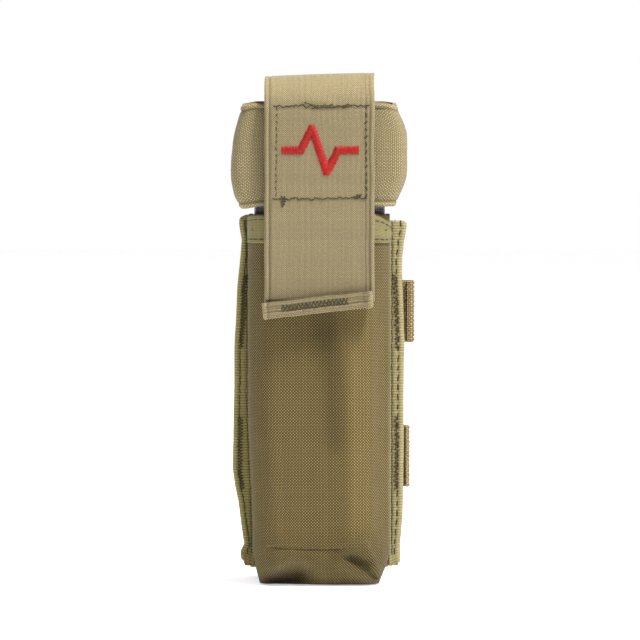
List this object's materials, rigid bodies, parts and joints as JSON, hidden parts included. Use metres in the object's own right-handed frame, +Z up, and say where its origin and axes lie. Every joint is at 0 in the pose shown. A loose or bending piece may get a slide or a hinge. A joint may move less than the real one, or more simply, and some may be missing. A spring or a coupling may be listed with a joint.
{
  "type": "tourniquet in belt pouch",
  "caption": "Folded windlass tourniquet in an upright cloth belt pouch with an elastic cuff, an elastic flap over the top and a snap strap behind.",
  "frame": {"origin": "centre of the flat base that the pouch stands on", "axes": "+Z up along the pouch, -Y towards its front, +X to the right seen from the front"},
  "size_m": [0.0668, 0.0483, 0.179],
  "materials": {
    "box_cloth": "coarse plain-weave coated nylon",
    "panel_cloth": "plain-weave coated nylon",
    "stiffener": "polyethylene sheet",
    "binding_tape": "ribbed grosgrain tape",
    "hem_tape": "smooth woven tape",
    "webbing": "nylon webbing",
    "elastic": "ribbed woven elastic",
    "loop_pile": "soft loop pile",
    "hook_pile": "nylon hooks",
    "olive_thread": "bonded nylon thread",
    "red_thread": "satin-stitched thread",
    "snap_metal": "black oxide brass",
    "band_webbing": "hook-and-loop nylon band",
    "grey_ribbon": "plain nylon ribbon",
    "time_cloth": "light woven strap",
    "tip_plastic": "welded thermoplastic tip",
    "hard_plastic": "fibre-filled moulded nylon"
  },
  "bodies": {
    "pouch": {"back_liner": "panel_cloth", "back_stiffener": "stiffener", "back_panel": "panel_cloth", "side_tape_left": "binding_tape", "side_tape_right": "binding_tape", "bottom_tape": "binding_tape", "front_panel": "box_cloth", "mouth_tape": "hem_tape", "cuff": "elastic", "cuff_riser": "elastic", "cuff_loop_patch": "loop_pile", "molle_row_upper": "webbing", "molle_row_lower": "webbing", "row_tack_upper_left": "olive_thread", "row_tack_upper_right": "olive_thread", "row_tack_lower_left": "olive_thread", "row_tack_lower_right": "olive_thread", "tape_tack_upper_left": "olive_thread", "tape_tack_upper_right": "olive_thread", "tape_tack_lower_left": "olive_thread", "tape_tack_lower_right": "olive_thread", "flap_anchor": "elastic", "strap_anchor": "webbing", "snap_stud": "snap_metal", "snap_eyelet": "snap_metal"},
    "back_strap": {"molle_strap": "webbing", "snap_socket": "snap_metal", "snap_cap": "snap_metal"},
    "flap_back": {"flap_back": "elastic"},
    "flap_top": {"flap_top": "elastic"},
    "flap_front": {"flap_front": "elastic", "hook_patch": "hook_pile", "patch_stitching": "olive_thread", "pulse_mark": "red_thread", "pull_tab": "elastic", "tab_tack": "olive_thread"},
    "tourniquet": {"tourniquet_band": "band_webbing", "tourniquet_tip": "tip_plastic", "tourniquet_plate": "hard_plastic", "tourniquet_ribbon": "grey_ribbon", "windlass": "hard_plastic", "windlass_clip": "hard_plastic", "time_strap": "time_cloth", "buckle": "hard_plastic"}
  },
  "joints": [
    {"name": "tourniquet_draw", "type": "slide", "parent": "pouch", "child": "tourniquet", "axis": [0, 0, 1], "range_m": [0, 0.17]},
    {"name": "flap_open", "type": "hinge", "parent": "pouch", "child": "flap_back", "pos_m": [0, 0.0187, 0.1173], "axis": [-1, 0, 0], "range_deg": [0, 90]},
    {"name": "flap_top_unfold", "type": "hinge", "parent": "flap_back", "child": "flap_top", "pos_m": [0, 0.0187, 0.1782], "axis": [-1, 0, 0], "range_deg": [0, 120]},
    {"name": "flap_front_unfold", "type": "hinge", "parent": "flap_top", "child": "flap_front", "pos_m": [0, -0.0208, 0.1782], "axis": [-1, 0, 0], "range_deg": [0, 140]},
    {"name": "back_strap_open", "type": "hinge", "parent": "pouch", "child": "back_strap", "pos_m": [0, 0.021, 0.1068], "axis": [1, 0, 0], "range_deg": [0, 60]}
  ],
  "couplings": [
    {"joint": "flap_open", "follows": "tourniquet_draw", "rad_per_m": 9.239},
    {"joint": "flap_top_unfold", "follows": "tourniquet_draw", "rad_per_m": 12.319},
    {"joint": "flap_front_unfold", "follows": "tourniquet_draw", "rad_per_m": 14.373}
  ]
}
